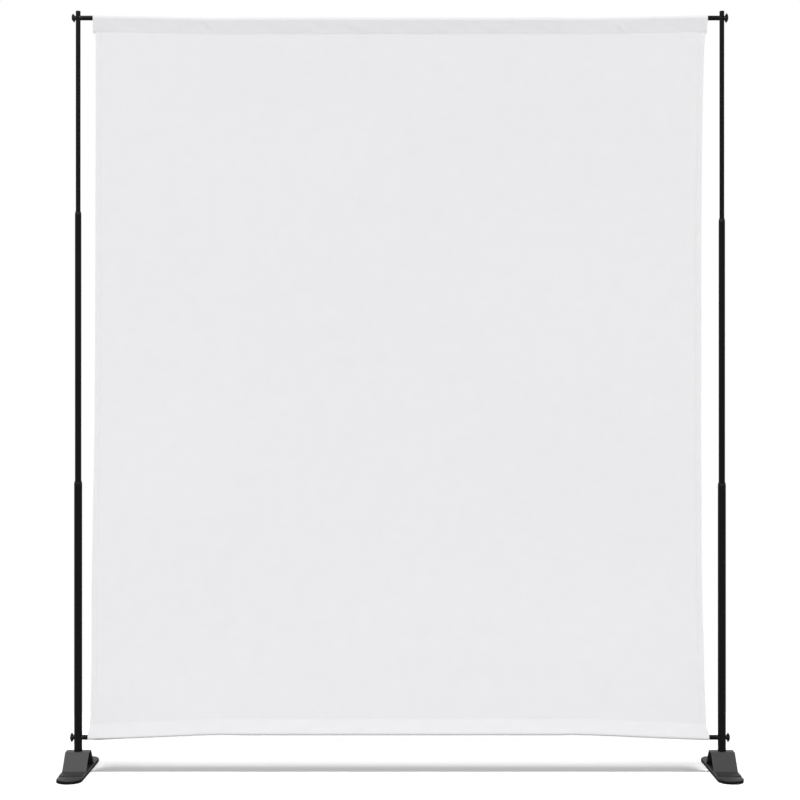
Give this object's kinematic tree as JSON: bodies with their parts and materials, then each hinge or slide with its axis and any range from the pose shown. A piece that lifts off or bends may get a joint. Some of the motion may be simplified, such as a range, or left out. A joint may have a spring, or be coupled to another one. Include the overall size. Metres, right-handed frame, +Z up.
{
  "type": "adjustable banner stand",
  "caption": "Free-standing frame of telescopic uprights on steel feet and telescopic crossbars held by wing screws, with a plain cloth banner stretched between them.",
  "frame": {"origin": "on the floor, midway between the two uprights", "axes": "+X to the right seen from the front, -Y the front, +Z up along the uprights"},
  "size_m": [2.68, 0.44, 3.048],
  "materials": {
    "powder_coat": "semi-gloss black powder coat on steel tube",
    "foot_paint": "satin black powder coat on pressed steel",
    "black_plastic": "moulded black nylon",
    "nylon": "natural moulded nylon",
    "zinc": "bright zinc plated steel",
    "rubber": "moulded rubber",
    "cloth": "plain white polyester knit"
  },
  "bodies": {
    "left_base": {"left_foot_base": "foot_paint", "left_foot_bridge": "foot_paint", "left_foot_rivets": "foot_paint", "left_foot_pads": "rubber", "left_foot_washer": "zinc", "left_foot_bolt": "zinc", "left_tube_plug": "zinc", "left_lower_tube": "powder_coat", "left_lower_collar": "black_plastic", "left_lower_collar_pin": "black_plastic", "lower_left_end_plug": "black_plastic", "lower_left_end_tube": "powder_coat", "lower_left_centre_tube": "powder_coat", "lower_right_centre_tube": "powder_coat", "lower_centre_coupler": "zinc", "banner": "cloth"},
    "left_middle": {"left_middle_tube": "powder_coat", "left_middle_collar": "black_plastic", "left_middle_lock_core": "black_plastic"},
    "left_top": {"left_top_tube": "powder_coat", "left_top_cap": "black_plastic", "left_top_lock_core": "black_plastic", "upper_left_end_plug": "black_plastic", "upper_left_end_tube": "powder_coat", "upper_left_centre_tube": "powder_coat", "upper_right_centre_tube": "powder_coat", "upper_centre_coupler": "zinc"},
    "right_base": {"right_foot_base": "foot_paint", "right_foot_bridge": "foot_paint", "right_foot_rivets": "foot_paint", "right_foot_pads": "rubber", "right_foot_washer": "zinc", "right_foot_bolt": "zinc", "right_tube_plug": "zinc", "right_lower_tube": "powder_coat", "right_lower_collar": "black_plastic", "right_lower_collar_pin": "black_plastic", "lower_right_end_plug": "black_plastic", "lower_right_end_tube": "powder_coat"},
    "right_middle": {"right_middle_tube": "powder_coat", "right_middle_collar": "black_plastic", "right_middle_lock_core": "black_plastic"},
    "right_top": {"right_top_tube": "powder_coat", "right_top_cap": "black_plastic", "right_top_lock_core": "black_plastic", "upper_right_end_plug": "black_plastic", "upper_right_end_tube": "powder_coat"},
    "left_middle_lock": {"left_middle_lock_cam": "nylon"},
    "left_top_lock": {"left_top_lock_cam": "nylon"},
    "left_upper_wing": {"left_upper_wing_knob": "black_plastic", "left_upper_wing_stud": "zinc"},
    "left_lower_wing": {"left_lower_wing_knob": "black_plastic", "left_lower_wing_stud": "zinc"},
    "right_middle_lock": {"right_middle_lock_cam": "nylon"},
    "right_top_lock": {"right_top_lock_cam": "nylon"},
    "right_upper_wing": {"right_upper_wing_knob": "black_plastic", "right_upper_wing_stud": "zinc"},
    "right_lower_wing": {"right_lower_wing_knob": "black_plastic", "right_lower_wing_stud": "zinc"}
  },
  "joints": [
    {"name": "width_slide", "type": "slide", "parent": "left_base", "child": "right_base", "axis": [1, 0, 0], "range_m": [-0.02, 0.15]},
    {"name": "left_middle_slide", "type": "slide", "parent": "left_base", "child": "left_middle", "axis": [0, 0, 1], "range_m": [-0.86, 0], "deforming": ["banner"]},
    {"name": "left_top_slide", "type": "slide", "parent": "left_middle", "child": "left_top", "axis": [0, 0, 1], "range_m": [-0.75, 0], "deforming": ["banner"]},
    {"name": "right_middle_slide", "type": "slide", "parent": "right_base", "child": "right_middle", "axis": [0, 0, 1], "range_m": [-0.86, 0]},
    {"name": "right_top_slide", "type": "slide", "parent": "right_middle", "child": "right_top", "axis": [0, 0, 1], "range_m": [-0.75, 0]},
    {"name": "left_middle_lock_turn", "type": "hinge", "parent": "left_middle", "child": "left_middle_lock", "pos_m": [-1.2912, 0, 1.028], "axis": [0, 0, -1], "range_deg": [-36.4, 0]},
    {"name": "left_top_lock_turn", "type": "hinge", "parent": "left_top", "child": "left_top_lock", "pos_m": [-1.291, 0, 2.118], "axis": [0, 0, -1], "range_deg": [-37.9, 0]},
    {"name": "right_middle_lock_turn", "type": "hinge", "parent": "right_middle", "child": "right_middle_lock", "pos_m": [1.2912, 0, 1.022], "axis": [0, 0, 1], "range_deg": [-36.4, 0]},
    {"name": "right_top_lock_turn", "type": "hinge", "parent": "right_top", "child": "right_top_lock", "pos_m": [1.291, 0, 2.09], "axis": [0, 0, 1], "range_deg": [-37.9, 0]},
    {"name": "left_upper_wing_turn", "type": "hinge", "parent": "left_top", "child": "left_upper_wing", "pos_m": [-1.2995, 0, 3.02], "axis": [-1, 0, 0], "range_deg": [0, 450]},
    {"name": "left_lower_wing_turn", "type": "hinge", "parent": "left_base", "child": "left_lower_wing", "pos_m": [-1.306, 0, 0.137], "axis": [-1, 0, 0], "range_deg": [0, 450]},
    {"name": "right_upper_wing_turn", "type": "hinge", "parent": "right_top", "child": "right_upper_wing", "pos_m": [1.2995, 0, 3.02], "axis": [1, 0, 0], "range_deg": [0, 450]},
    {"name": "right_lower_wing_turn", "type": "hinge", "parent": "right_base", "child": "right_lower_wing", "pos_m": [1.306, 0, 0.137], "axis": [1, 0, 0], "range_deg": [0, 450]}
  ],
  "couplings": [
    {"joint": "right_middle_slide", "follows": "left_middle_slide", "ratio": 1},
    {"joint": "right_top_slide", "follows": "left_top_slide", "ratio": 1}
  ]
}
